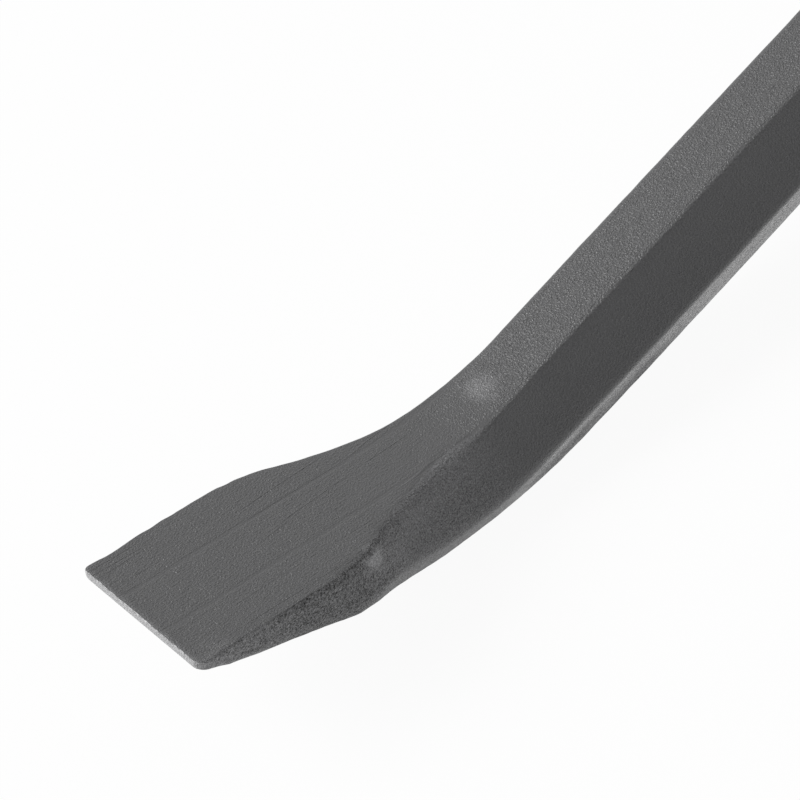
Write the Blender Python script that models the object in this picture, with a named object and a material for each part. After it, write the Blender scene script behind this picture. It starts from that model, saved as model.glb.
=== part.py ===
"""A gooseneck wrecking bar, forged from hexagonal steel, with a moulded grip sleeve on its shank.

The bar's own frame has its origin where the chisel's bend meets the straight shank. X runs along the
shank to the gooseneck, Y across the blade, and Z out of the facet that both forged ends keep as their
outer face. An empty stands the bar as it is laid on a floor: hook down, on the points of its claw and
the heel of its chisel.
"""
import math

import bmesh
import bpy
from mathutils import Matrix, Vector

# The bar, in metres and degrees
BAR_LENGTH = 0.600            # chisel edge to the back of the gooseneck, along the shank
FLATS = 0.018                 # hexagon, across flats
SHANK_ROUNDING = 0.0006       # how far the rounding of an arris reaches along each facet

# The chisel end
CHISEL_BEND = 21.5            # between the shank and the blade's flat face
CHISEL_RADIUS = 0.069         # of the bend, at the bar's axis
CHISEL_REACH = 0.0439         # straight run from the edge to the bend
BLADE_WIDTH = 0.0283
BLADE_LENGTH = 0.024          # edge to heel, the stretch of full width
NECK_LENGTH = 0.048           # heel to full hexagon
HEEL_THICKNESS = 0.0082
EDGE_THICKNESS = 0.0014
BEVEL_LENGTH = 0.005          # last stretch before the edge, which tapers faster
BEVEL_THICKNESS = 0.0036      # where that stretch starts
BLADE_DRAFT = 0.0004          # how much the blade narrows underneath, each side
BLADE_ROUNDING = 0.0004
BLADE_CORNER = 0.0016         # rounding of the edge's two corners, seen from above

# The gooseneck and its claw
GOOSENECK_RADIUS = 0.036      # at the bar's axis
GOOSENECK_TURN = 128.0
CLAW_REACH = 0.060            # from the end of the gooseneck's bend to the points
CLAW_RADIUS = 0.150           # of the gentle curve along that reach
CLAW_LENGTH = 0.078           # full hexagon to points
CLAW_WIDTH = 0.033
CLAW_RIDGE = 0.0004           # how far the claw's side ridge stands out past its faces
POINT_THICKNESS = 0.0026
POINT_CORNER = 0.0030         # rounding of the points' outer corners
CLAW_ROUNDING = 0.0006
SLOT_DEPTH = 0.038            # nail slot, points to root
SLOT_MOUTH = 0.0120
SLOT_ROOT = 0.0050
SLOT_FLARE = 12.0             # slope of the slot's walls, wider inside the hook

# The grip sleeve
SLEEVE_LENGTH = 0.140
SLEEVE_TO_HOOK = 0.055        # from the sleeve's end to the start of the gooseneck
SLEEVE_WALL = 0.0030
SLEEVE_CLEARANCE = 0.0003
SLEEVE_ROUNDING = 0.0045
COLLAR_LENGTH = 0.0060
COLLAR_HEIGHT = 0.0012
RIB_PITCH = 0.0080
RIB_GROOVE = 0.0026
RIB_DEPTH = 0.0008

# Facets
ROUNDING_STEPS = 3
FORGED_STEP = 0.0030          # between rings where the section changes
HOOK_STEP_ANGLE = 5.0         # degrees between rings round the gooseneck
CORNER_STEPS = 3
ROOT_STEPS = 10
CUTTER_SPARE = 0.003          # how far the slot's cutter runs past the solid

# Forged shape of the neck, from the heel (0) to the full hexagon (1). Each row has the way along the neck,
# the share of the thickness gained by then, the shares of the blade's extra width left at the outer face,
# the side ridge and the underside, and the depth of the ridge as a share of the thickness.
NECK_SHARES = (
    (0.00, 0.00, 1.00, 1.00, 1.00, 0.77),
    (0.10, 0.11, 0.90, 0.97, 0.94, 0.76),
    (0.25, 0.40, 0.57, 0.54, 0.57, 0.63),
    (0.42, 0.64, 0.28, 0.20, 0.30, 0.62),
    (0.60, 0.81, 0.12, 0.03, 0.10, 0.58),
    (0.80, 0.93, 0.04, 0.00, 0.02, 0.52),
    (1.00, 1.00, 0.00, 0.00, 0.00, 0.50),
)
# The same for the claw, from its points (0) to the full hexagon (1).
CLAW_SHARES = (
    (0.00, 0.00, 1.00, 1.00, 1.00, 0.50),
    (0.20, 0.20, 0.92, 0.90, 0.92, 0.50),
    (0.45, 0.47, 0.70, 0.58, 0.68, 0.50),
    (0.65, 0.70, 0.38, 0.25, 0.38, 0.50),
    (0.85, 0.93, 0.08, 0.03, 0.08, 0.50),
    (1.00, 1.00, 0.00, 0.00, 0.00, 0.50),
)

# Worked out from the sizes above
OUTER_FACE = FLATS / 2
FACET = FLATS / math.sqrt(3)
BEND_ANGLE = math.radians(CHISEL_BEND)
TURN_ANGLE = math.radians(GOOSENECK_TURN)
CHISEL_DEPTH = CHISEL_REACH * math.cos(BEND_ANGLE) + CHISEL_RADIUS * math.sin(BEND_ANGLE)
EDGE_SETBACK = (OUTER_FACE - EDGE_THICKNESS) * math.sin(BEND_ANGLE)
SHANK_LENGTH = BAR_LENGTH - CHISEL_DEPTH + EDGE_SETBACK - GOOSENECK_RADIUS - OUTER_FACE
BEND_LENGTH = CHISEL_RADIUS * BEND_ANGLE
GOOSENECK_LENGTH = GOOSENECK_RADIUS * TURN_ANGLE
SHANK_START = CHISEL_REACH + BEND_LENGTH
HOOK_START = SHANK_START + SHANK_LENGTH
BAR_RUN = HOOK_START + GOOSENECK_LENGTH + CLAW_REACH


def clear_scene():
    for item in list(bpy.data.objects):
        bpy.data.objects.remove(item, do_unlink=True)


def paint(name, colour, roughness, metallic=0.0):
    material = bpy.data.materials.new(name)
    material.use_nodes = True
    shader = material.node_tree.nodes["Principled BSDF"]
    shader.inputs["Base Color"].default_value = (*colour, 1.0)
    shader.inputs["Roughness"].default_value = roughness
    shader.inputs["Metallic"].default_value = metallic
    return material


def smooth_curve(rows, column, at):
    """Value of a table's column at a place, on a cubic that never overshoots its rows."""
    places = [row[0] for row in rows]
    values = [row[column] for row in rows]
    slopes = [(values[k + 1] - values[k]) / (places[k + 1] - places[k]) for k in range(len(rows) - 1)]
    tangents = [slopes[0]]
    for before, after in zip(slopes, slopes[1:]):
        tangents.append(2 * before * after / (before + after) if before * after > 0 else 0.0)
    tangents.append(slopes[-1])
    at = min(max(at, places[0]), places[-1])
    k = max(k for k in range(len(rows) - 1) if places[k] <= at)
    width = places[k + 1] - places[k]
    t = (at - places[k]) / width
    rise = 3 * t**2 - 2 * t**3
    return (values[k] * (1 - rise) + values[k + 1] * rise
            + width * (tangents[k] * (t**3 - 2 * t**2 + t) + tangents[k + 1] * (t**3 - t**2)))


def spine(run):
    """The bar's axis at a run from the chisel's edge: x, z and heading, turning left as positive."""
    x = -CHISEL_DEPTH
    z = CHISEL_REACH * math.sin(BEND_ANGLE) + CHISEL_RADIUS * (1 - math.cos(BEND_ANGLE))
    heading = -BEND_ANGLE
    stretches = (
        (CHISEL_REACH, 0.0),
        (BEND_LENGTH, 1 / CHISEL_RADIUS),
        (SHANK_LENGTH, 0.0),
        (GOOSENECK_LENGTH, -1 / GOOSENECK_RADIUS),
        (CLAW_REACH, -1 / CLAW_RADIUS),
    )
    for length, curvature in stretches:
        step = min(max(run, 0.0), length)
        if curvature:
            turned = heading + curvature * step
            x += (math.sin(turned) - math.sin(heading)) / curvature
            z += (math.cos(heading) - math.cos(turned)) / curvature
            heading = turned
        else:
            x += step * math.cos(heading)
            z += step * math.sin(heading)
        run -= length
    return x, z, heading


def rounded(corners, reach):
    """Outline with its corners rounded, the same number of points for each."""
    points = []
    count = len(corners)
    for k in range(count):
        corner = Vector(corners[k])
        ends = []
        for other in (Vector(corners[k - 1]), Vector(corners[(k + 1) % count])):
            side = other - corner
            ends.append(corner + side * min(reach / side.length, 0.42))
        for step in range(ROUNDING_STEPS + 1):
            t = step / ROUNDING_STEPS
            points.append(ends[0] * (1 - t)**2 + corner * 2 * t * (1 - t) + ends[1] * t**2)
    return points


def six_sided(outer, ridge, under, thickness, ridge_depth, reach):
    """Section hung from the bar's outer face, by half widths of that face, the ridge and the underside."""
    top = OUTER_FACE
    middle = top - ridge_depth
    bottom = top - thickness
    near_side = [(outer, top), (ridge, middle), (under, bottom)]
    far_side = [(-width, height) for width, height in reversed(near_side)]
    return rounded(near_side + far_side, reach)


def corner_loss(run, corner):
    """How much a rounded plan corner takes off the half width at a run from the end."""
    gap = max(corner - run, 0.0)
    return corner - math.sqrt(corner**2 - gap**2)


def mix(a, b, share):
    return a + (b - a) * share


def chisel_section(run):
    way = (run - BLADE_LENGTH) / NECK_LENGTH
    gained, outer, ridge, under, ridge_share = (
        smooth_curve(NECK_SHARES, column, way) for column in range(1, 6))
    if run < BEVEL_LENGTH:
        thickness = mix(EDGE_THICKNESS, BEVEL_THICKNESS, run / BEVEL_LENGTH)
    elif run < BLADE_LENGTH:
        share = (run - BEVEL_LENGTH) / (BLADE_LENGTH - BEVEL_LENGTH)
        thickness = mix(BEVEL_THICKNESS, HEEL_THICKNESS, share)
    else:
        thickness = mix(HEEL_THICKNESS, FLATS, gained)
    half = BLADE_WIDTH / 2
    loss = corner_loss(run, BLADE_CORNER)
    return six_sided(
        mix(FACET / 2, half, outer) - loss,
        mix(FACET, half, ridge) - loss,
        mix(FACET / 2, half - BLADE_DRAFT, under) - loss,
        thickness,
        thickness * ridge_share,
        mix(SHANK_ROUNDING, BLADE_ROUNDING, outer),
    )


def claw_section(run):
    """Section at a run back from the points."""
    gained, outer, ridge, under, ridge_share = (
        smooth_curve(CLAW_SHARES, column, run / CLAW_LENGTH) for column in range(1, 6))
    half = CLAW_WIDTH / 2 - CLAW_RIDGE
    loss = corner_loss(run, POINT_CORNER)
    thickness = mix(POINT_THICKNESS, FLATS, gained)
    return six_sided(
        mix(FACET / 2, half, outer) - loss,
        mix(FACET, half + CLAW_RIDGE, ridge) - loss,
        mix(FACET / 2, half, under) - loss,
        thickness,
        thickness * ridge_share,
        mix(SHANK_ROUNDING, CLAW_ROUNDING, outer),
    )


def ring(run):
    """The bar's section at a run from the chisel's edge, in the bar's frame."""
    x, z, heading = spine(run)
    back = BAR_RUN - run
    outline = claw_section(back) if back < CLAW_LENGTH else chisel_section(run)
    return [Vector((x - height * math.sin(heading), side, z + height * math.cos(heading)))
            for side, height in outline]


def spaced(start, end, step):
    """Even places from start to end, both included, no further apart than step."""
    count = max(1, math.ceil((end - start) / step - 1e-6))
    return [mix(start, end, k / count) for k in range(count + 1)]


def bar_runs():
    """Where the bar's rings lie: close together where its section or its heading changes."""
    neck_end = max(BLADE_LENGTH + NECK_LENGTH, SHANK_START)
    claw_start = BAR_RUN - CLAW_LENGTH
    runs = spaced(0.0, BLADE_CORNER, BLADE_CORNER / CORNER_STEPS)
    runs += spaced(BLADE_CORNER, BEVEL_LENGTH, BEVEL_LENGTH)[1:]
    runs += spaced(BEVEL_LENGTH, BLADE_LENGTH, BLADE_LENGTH / 4)[1:]
    runs += spaced(BLADE_LENGTH, neck_end, FORGED_STEP)[1:]
    runs += spaced(HOOK_START, claw_start, GOOSENECK_RADIUS * math.radians(HOOK_STEP_ANGLE))
    runs += spaced(claw_start, BAR_RUN - POINT_CORNER, FORGED_STEP)[1:]
    runs += spaced(BAR_RUN - POINT_CORNER, BAR_RUN, POINT_CORNER / CORNER_STEPS)[1:]
    return runs


def add_object(name, mesh, material, parent):
    item = bpy.data.objects.new(name, mesh)
    bpy.context.scene.collection.objects.link(item)
    item.parent = parent
    if material:
        mesh.materials.append(material)
    return item


def loft(name, rings, closed=False):
    """Mesh through rings of equal count, with flat end caps, or closed on itself like a sleeve."""
    form = bmesh.new()
    loops = [[form.verts.new(point) for point in points] for points in rings]
    pairs = list(zip(loops, loops[1:]))
    if closed:
        pairs.append((loops[-1], loops[0]))
    else:
        form.faces.new(loops[0])
        form.faces.new(loops[-1])
    for one, other in pairs:
        for k in range(len(one)):
            form.faces.new((one[k - 1], one[k], other[k], other[k - 1]))
    bmesh.ops.recalc_face_normals(form, faces=form.faces)
    mesh = bpy.data.meshes.new(name)
    form.to_mesh(mesh)
    form.free()
    mesh.shade_smooth()
    mesh.set_sharp_from_angle(angle=math.radians(35))
    return mesh


def slot_outline(grow):
    """Nail slot seen square to the claw: along is measured back from the points."""
    root = SLOT_ROOT / 2
    centre = SLOT_DEPTH - root
    mouth = SLOT_MOUTH / 2
    slope = (mouth - root) / centre
    points = [(-CUTTER_SPARE, mouth + slope * CUTTER_SPARE + grow)]
    for step in range(ROOT_STEPS + 1):
        angle = math.pi * (0.5 - step / ROOT_STEPS)
        points.append((centre + (root + grow) * math.cos(angle), (root + grow) * math.sin(angle)))
    points.append((-CUTTER_SPARE, -mouth - slope * CUTTER_SPARE - grow))
    return points


def slot_cutter(parent):
    """Tapered prism for the nail slot, square to the claw at half the slot's depth."""
    x, z, heading = spine(BAR_RUN - SLOT_DEPTH / 2)
    back = Vector((-math.cos(heading), 0.0, -math.sin(heading)))
    out = Vector((-math.sin(heading), 0.0, math.cos(heading)))
    points_end = Vector((x, 0.0, z)) - back * SLOT_DEPTH / 2
    flare = math.tan(math.radians(SLOT_FLARE))
    rings = []
    for height in (OUTER_FACE + CUTTER_SPARE, OUTER_FACE - FLATS):
        level = points_end + out * height
        outline = slot_outline((OUTER_FACE - height) * flare)
        rings.append([level + back * along + Vector((0.0, side, 0.0)) for along, side in outline])
    cutter = add_object("slot_cutter", loft("slot_cutter", rings), None, parent)
    cutter.display_type = "WIRE"
    cutter.hide_render = True
    return cutter


def forged_bar(parent):
    mesh = loft("forged_bar", [ring(run) for run in bar_runs()])
    bar = add_object("forged_bar", mesh, paint("dark_grey_paint", (0.105, 0.105, 0.107), 0.5), parent)
    slot = bar.modifiers.new("nail_slot", "BOOLEAN")
    slot.operation = "DIFFERENCE"
    slot.solver = "EXACT"
    slot.object = slot_cutter(parent)
    return bar


def sleeve_profile():
    """Outside of the sleeve: places along it, each with the height above its grooves' floor."""
    high = RIB_DEPTH + COLLAR_HEIGHT
    ramp = COLLAR_LENGTH / 4
    start = COLLAR_LENGTH + ramp
    end = SLEEVE_LENGTH - start
    ribs = max(1, round((end - start) / RIB_PITCH))
    pitch = (end - start) / ribs
    wall = RIB_GROOVE / 4
    profile = [(0.0, RIB_DEPTH), (ramp, high), (COLLAR_LENGTH, high), (start, RIB_DEPTH)]
    for k in range(1, ribs):
        left = start + pitch * k - RIB_GROOVE / 2
        right = left + RIB_GROOVE
        profile += [(left, RIB_DEPTH), (left + wall, 0.0), (right - wall, 0.0), (right, RIB_DEPTH)]
    profile += [(end, RIB_DEPTH), (SLEEVE_LENGTH - COLLAR_LENGTH, high)]
    profile += [(SLEEVE_LENGTH - ramp, high), (SLEEVE_LENGTH, RIB_DEPTH)]
    return profile


def hexagon(flat_radius, reach):
    half = flat_radius / math.sqrt(3)
    corners = [(half, flat_radius), (2 * half, 0.0), (half, -flat_radius)]
    corners += [(-half, -flat_radius), (-2 * half, 0.0), (-half, flat_radius)]
    return rounded(corners, reach)


def grip_sleeve(parent):
    start = SHANK_LENGTH - SLEEVE_TO_HOOK - SLEEVE_LENGTH
    bore = OUTER_FACE + SLEEVE_CLEARANCE
    floor = bore + SLEEVE_WALL - RIB_DEPTH
    rings = []
    for along, height in sleeve_profile():
        rings.append([Vector((start + along, y, z)) for y, z in hexagon(floor + height, SLEEVE_ROUNDING)])
    for along in (SLEEVE_LENGTH, 0.0):
        rings.append([Vector((start + along, y, z)) for y, z in hexagon(bore, SHANK_ROUNDING)])
    mesh = loft("grip_sleeve", rings, closed=True)
    return add_object("grip_sleeve", mesh, paint("black_vinyl", (0.022, 0.022, 0.024), 0.62), parent)


def lowest(points, lean, side):
    """Lowest of the points on one side of the bar's middle once it leans, as x and z."""
    middle = sum(point.x for point in (points[0], points[-1])) / 2
    turned = [(p.x * math.cos(lean) - p.z * math.sin(lean), p.x * math.sin(lean) + p.z * math.cos(lean))
              for p in points if (p.x - middle) * side > 0]
    return min(turned, key=lambda spot: spot[1])


def stand(frame, bar):
    """Lean the bar until its claw's points and chisel's heel touch the floor, centred over the origin."""
    points = [vertex.co for vertex in bar.data.vertices]
    lean = 0.0
    for _ in range(20):
        heel = lowest(points, lean, -1)
        claw = lowest(points, lean, 1)
        lean += math.atan2(heel[1] - claw[1], claw[0] - heel[0])
    turn = Matrix.Rotation(-lean, 4, "Y")
    placed = [turn @ point for point in points]
    frame.rotation_euler = (0.0, -lean, 0.0)
    frame.location = (
        -(min(p.x for p in placed) + max(p.x for p in placed)) / 2,
        0.0,
        -min(p.z for p in placed),
    )


def main():
    clear_scene()
    frame = bpy.data.objects.new("bar_frame", None)
    bpy.context.scene.collection.objects.link(frame)
    bar = forged_bar(frame)
    grip_sleeve(frame)
    stand(frame, bar)


main()
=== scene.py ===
"""Looks of a gooseneck wrecking bar: its forging in dark grey textured paint, and its moulded grip sleeve.

The forging is one skin on a grid that follows the bar. A point of the grid has a run from the chisel's
edge, a side across the bar and a height above its axis. The same three numbers carry the paint's texture.
The near side, which the camera sees, is the negative one.
"""
import math

import bmesh
import bpy
import numpy as np
from mathutils import Matrix, Vector, noise

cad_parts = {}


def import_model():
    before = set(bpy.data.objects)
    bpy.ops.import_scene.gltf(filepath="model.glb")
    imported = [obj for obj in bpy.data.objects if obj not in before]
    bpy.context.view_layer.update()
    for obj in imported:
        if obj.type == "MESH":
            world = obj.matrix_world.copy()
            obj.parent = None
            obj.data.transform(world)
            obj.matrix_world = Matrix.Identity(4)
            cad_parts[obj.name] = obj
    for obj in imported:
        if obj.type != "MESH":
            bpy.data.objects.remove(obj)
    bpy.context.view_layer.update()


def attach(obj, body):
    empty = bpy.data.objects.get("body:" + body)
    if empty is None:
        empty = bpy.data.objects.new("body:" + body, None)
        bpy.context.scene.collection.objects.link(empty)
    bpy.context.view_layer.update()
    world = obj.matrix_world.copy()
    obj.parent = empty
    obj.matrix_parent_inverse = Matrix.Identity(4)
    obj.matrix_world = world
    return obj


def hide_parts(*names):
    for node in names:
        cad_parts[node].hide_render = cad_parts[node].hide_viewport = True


# How the bar stands, in metres and degrees: the same as in its solids
LEAN = 11.246067
BAR_AT = (-0.23331101, 0.0, 0.00932163)

# The bar, as in its solids
BAR_LENGTH = 0.600
FLATS = 0.018
SHANK_ROUNDING = 0.0006
CHISEL_BEND = 21.5
CHISEL_RADIUS = 0.069
CHISEL_REACH = 0.0439
BLADE_WIDTH = 0.0283
BLADE_LENGTH = 0.024
NECK_LENGTH = 0.048
HEEL_THICKNESS = 0.0082
EDGE_THICKNESS = 0.0014
BEVEL_LENGTH = 0.005
BEVEL_THICKNESS = 0.0036
BLADE_DRAFT = 0.0004
BLADE_ROUNDING = 0.0004
BLADE_CORNER = 0.0016
GOOSENECK_RADIUS = 0.036
GOOSENECK_TURN = 128.0
CLAW_REACH = 0.060
CLAW_RADIUS = 0.150
CLAW_LENGTH = 0.078
CLAW_WIDTH = 0.033
CLAW_RIDGE = 0.0004
POINT_THICKNESS = 0.0026
POINT_CORNER = 0.0030
CLAW_ROUNDING = 0.0006
SLOT_DEPTH = 0.038
SLOT_MOUTH = 0.0120
SLOT_ROOT = 0.0050
SLOT_FLARE = 12.0
SLEEVE_LENGTH = 0.140
SLEEVE_TO_HOOK = 0.055
SLEEVE_WALL = 0.0030
SLEEVE_CLEARANCE = 0.0003
SLEEVE_ROUNDING = 0.0045
COLLAR_LENGTH = 0.0060
COLLAR_HEIGHT = 0.0012
RIB_PITCH = 0.0080
RIB_GROOVE = 0.0026
RIB_DEPTH = 0.0008

# Forged shape of the neck, as in the solids, from the heel (0) to the full hexagon (1). Each row has the way
# along the neck, the share of the thickness gained by then, the shares of the blade's extra width left at the
# outer face, the side ridge and the underside, and the depth of the ridge as a share of the thickness.
NECK_SHARES = (
    (0.00, 0.00, 1.00, 1.00, 1.00, 0.77),
    (0.10, 0.11, 0.90, 0.97, 0.94, 0.76),
    (0.25, 0.40, 0.57, 0.54, 0.57, 0.63),
    (0.42, 0.64, 0.28, 0.20, 0.30, 0.62),
    (0.60, 0.81, 0.12, 0.03, 0.10, 0.58),
    (0.80, 0.93, 0.04, 0.00, 0.02, 0.52),
    (1.00, 1.00, 0.00, 0.00, 0.00, 0.50),
)
# The same for the claw, from its points (0) to the full hexagon (1)
CLAW_SHARES = (
    (0.00, 0.00, 1.00, 1.00, 1.00, 0.50),
    (0.20, 0.20, 0.92, 0.90, 0.92, 0.50),
    (0.45, 0.47, 0.70, 0.58, 0.68, 0.50),
    (0.65, 0.70, 0.38, 0.25, 0.38, 0.50),
    (0.85, 0.93, 0.08, 0.03, 0.08, 0.50),
    (1.00, 1.00, 0.00, 0.00, 0.00, 0.50),
)

OUTER_FACE = FLATS / 2
FACET = FLATS / math.sqrt(3)
BEND_ANGLE = math.radians(CHISEL_BEND)
TURN_ANGLE = math.radians(GOOSENECK_TURN)
CHISEL_DEPTH = CHISEL_REACH * math.cos(BEND_ANGLE) + CHISEL_RADIUS * math.sin(BEND_ANGLE)
EDGE_SETBACK = (OUTER_FACE - EDGE_THICKNESS) * math.sin(BEND_ANGLE)
SHANK_LENGTH = BAR_LENGTH - CHISEL_DEPTH + EDGE_SETBACK - GOOSENECK_RADIUS - OUTER_FACE
BEND_LENGTH = CHISEL_RADIUS * BEND_ANGLE
GOOSENECK_LENGTH = GOOSENECK_RADIUS * TURN_ANGLE
HOOK_START = CHISEL_REACH + BEND_LENGTH + SHANK_LENGTH
BAR_RUN = HOOK_START + GOOSENECK_LENGTH + CLAW_REACH
ROOT_CENTRE = SLOT_DEPTH - SLOT_ROOT / 2
FLARE = math.tan(math.radians(SLOT_FLARE))
SLEEVE_START = HOOK_START - SLEEVE_TO_HOOK - SLEEVE_LENGTH

# Softer forms that the solids leave out
END_ROUNDING = 0.0002         # of the edge and the points, in the thickness
FAR_CORNER = 0.0011           # of the blade's far corner, which is less worn than the near one
END_SKEW = 0.00030            # how far the end stands back at its far corner
SKEW_REACH = 0.012            # run over which the skew fades out
FAR_BOWS = (                  # of the chisel's far side: run of each, its reach and how far it stands out
    (0.0180, 0.0090, 0.00034),
    (0.0560, 0.0150, 0.00030),
)
FAR_BOW_SHARES = (0.70, 0.95)  # of the outer half width, between which a bow sets in
SLOT_ROUNDING = 0.0005        # of the nail slot's edges
MOUTH_CORNER = 0.0008         # of the slot's mouth, seen from above
SLEEVE_LIP = 0.0006           # rounding of the sleeve's outer ends
SLEEVE_SOFTENING = (0.1, 0.2, 0.4, 0.2, 0.1)  # weights that round the sleeve's grooves along it
CORNER_LIMIT = 0.42           # largest share of a side that the rounding of its corner takes

SOFT_ARRIS = (                # rounding of the outer face's near edge: run, reach
    (0.0200, 0.0004),
    (0.0300, 0.0012),
    (0.0400, 0.0015),
    (0.0460, 0.0024),
    (0.0520, 0.0028),
    (0.0580, 0.0012),
    (0.0620, 0.0006),
)
SOFT_RIDGE = (                # the same for the near ridge
    (0.0240, 0.0004),
    (0.0340, 0.0012),
    (0.0480, 0.0018),
    (0.0640, 0.0014),
    (0.0780, 0.0009),
    (0.1500, 0.0006),
)
RIDGE_SAG = (0.0585, 0.0078, 0.00042)  # of the near ridge in the bend: its run, its reach and how far it hangs

# Unevenness of the forging, in metres: size of its lumps and how far each stands out
LUMPS = ((0.0090, 0.00006), (0.0032, 0.000035))
EDGE_WAVE = (0.0016, 0.00004)  # the same for the arrises, where it is also how far the unevenness reaches
SHANK_LUMPS = 0.45            # share of the lumps on the rolled shank
CHISEL_HEATED = (0.065, 0.095)  # runs between which the chisel's lumps give way to the shank's
HOOK_HEATED = 0.020           # how far ahead of the gooseneck its lumps set in
END_CALM = (-0.001, 0.004)    # distance from either end over which the unevenness grows to its full height
PAINT_DEPTH = 0.00016         # how far the painted shank stands out from the bare one
PAINT_SETS_IN = (0.066, 0.090)  # runs between which it does so
PAINT_RUNS_OUT = (0.030, 0.010)  # the same, ahead of the sleeve

# The blade's trimmed sides: their upper edge stands back from a ledge that wanders along them
LEDGE_DEPTH = 0.0010          # below the outer face
LEDGE_SHALLOW = 0.35          # share of that depth next to the edge
LEDGE_DEEPENS = (0.002, 0.016)  # runs between which it reaches its depth
LEDGE_WANDER = 0.0006
LEDGE_WAVES = ((0.0030, LEDGE_WANDER), (0.0009, LEDGE_WANDER / 2))
LEDGE_STRETCH = np.array([1.0, 1.0, 0.25])
LEDGE_SETBACK = {-1: 0.00013, 1: 0.00010}
LEDGE_BREAKS = (0.0024, 1.8)  # size and strength of the stretches in which it comes and goes
LEDGE_STARTS = (0.001, 0.004)
LEDGE_ENDS = (0.024, 0.034)
LEDGE_STEEPNESS = 0.00028
LEDGE_BAND = (0.0030, 0.0008)  # in from the side, between which it sets in

# Marks of the forging: run, side and depth of each, its reach and how far it stands out
MARKS = (
    (0.0311, -0.0127, 0.0014, 0.0010, 0.00020),
    (0.0352, -0.0106, 0.0010, 0.0020, -0.00020),
    (0.0620, 0.0006, 0.0000, 0.0055, 0.00020),
    (0.0268, -0.0136, 0.0083, 0.0022, 0.00028),
)

# Grid of the skin
OUTER_COLUMNS = 8             # on a face, from its edge to the nail slot
ROOT_COLUMNS = 12             # round the slot's root
CORNER_STEPS = 7
UPPER_STEPS = 20              # on a side, above and below its ridge
LOWER_STEPS = 9
UPPER_EASE = 1.6              # how much closer the upper ones lie next to the arris
WALL_STEPS = 4
ROOT_ROWS = 16
ROOT_ROUNDS = 6               # of settling the root's wall on the curved faces
END_STEPS = 4                 # over the rounding of an end
REGULAR_FROM = 0.052          # back from the points, where the grid is plain again
SLOT_SHARE = 0.36             # share of a plain face that the slot's columns take
RING_SPACING = (              # up to each run, the distance between rings
    (BLADE_CORNER, 0.0002),
    (0.036, 0.0003),
    (0.120, 0.0006),
    (HOOK_START, 0.0025),
    (BAR_RUN - CLAW_LENGTH, 0.0012),
    (BAR_RUN - REGULAR_FROM, 0.0010),
)
PRONG_SPACING = (             # the same, back from the points
    (POINT_CORNER, 0.0003),
    (ROOT_CENTRE, 0.0009),
)
SLEEVE_PLACES = 561           # along the sleeve
SLEEVE_STEPS = 8              # on each of its flats
WELD = 1e-6
SHARP_FROM = 42.0             # degrees

# Noises of the paint: scale per metre, also along the run, across and in the height apart, and detail
PEEL = (3100.0, 0.0)
FINE_PEEL = (5200.0, 0.0)
GRAIN = (3300.0, 0.5)
COARSE_GRAIN = (2300.0, 0.5)
FLOW_STREAKS = ((260.0, 2600.0, 1200.0), 1.0)
DRAWN_LINES = ((16.0, 300.0, 300.0), 1.0)
LINE_BREAKS = (70.0, 1.0)
EDGE_RIM = ((3000.0, 420.0, 3000.0), 1.0)
SHADOW_BREAKS = (210.0, 2.0)
CLOUDS = (160.0, 3.0)
RAGGED = (900.0, 1.0)
CHIPS = ((2600.0, 900.0, 2600.0), 3.0)
SCRATCHES = ((3000.0, 260.0, 5200.0), 2.0)
DRY_STREAKS = ((110.0, 420.0, 420.0), 2.0)

# Where the paint changes: the two runs, heights, depths below the outer face or levels of a noise between which
# it does
BLADE_FACE = (0.0665, 0.0600)
BLADE_SIDE = (0.066, 0.050)
BLADE_GRAIN = (0.040, 0.030)
NECK_SIDE = (0.033, 0.040)
AT_EDGE = (0.0018, 0.0005)
FACE_DEPTHS = (0.0009, 0.0004)
SIDE_DEPTHS = (0.00002, 0.00015)
FACET_DEPTHS = (0.0001, 0.0004)
SHADOW_DEPTHS = (0.0004, 0.0009)
SHADOW_RUNS = (0.0335, 0.0305)
SHADOW_LEVELS = (0.44, 0.58)
BELOW_RIDGE = (0.0006, -0.0004)
MIDDLE = (-0.001, 0.001)      # sides
ARRIS_IN = 0.0002             # from the facet's edge to the middle of its arris
ARRIS_REACH = (0.0006, 0.0002)
ARRIS_DEPTHS = (0.0009, 0.0006)
LINE_WIDTH = 0.014            # of a drawn line, in levels of its noise
LINE_LEVELS = (0.50, 0.66)

# Relief of the paint: how deep each noise is, and what is left of the peel or taken off it in places
PEEL_DEPTH = 0.00018
FINE_PEEL_DEPTH = 0.00012
STREAK_DEPTH = 0.00006
LINE_DEPTH = 0.00008
RIM_DEPTH = 0.00012
SIDE_GRAIN_DEPTH = 0.00022
BLADE_PEEL_LOSS = (0.030, 0.040, 0.22, 0.40)  # the two runs, and the loss at each
FACET_PEEL_LOSS = 0.50
ARRIS_PEEL_LOSS = 0.45

# Tone of the paint, by which its colour is multiplied: what it is, and what each place or noise adds. Several
# of these are painted light and shade, as noted at each
PAINT_COLOUR = (0.090, 0.090, 0.092)
BASE_TONE = 0.87
CLOUD_TONE = 0.10
# painted shade in the orange peel's pits and painted light on its crests
PEEL_LIGHT_AND_SHADE = 0.10
FACE_TONE = -0.09
# The next two are painted light: they make the chisel's sides and neck paler, as if lit from the white floor
SIDE_TONE = (0.009, 0.0185, 0.90, 0.28)       # the two runs, and the tone at each
SIDE_NECK_TONE = (0.030, 0.038, 0.00, 0.18)
# painted light high on the neck's side and painted shade low on it
NECK_TONE = (0.0030, 0.0065, -0.10, 0.16)     # the two heights, and the tone at each
# painted light: the shank's upper side facets paler towards the lit outer face
PAINTED_FACET_LIGHT = (0.0020, 0.0080, 0.08, 0.20)
SHADOW_TONE = -0.18
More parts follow.
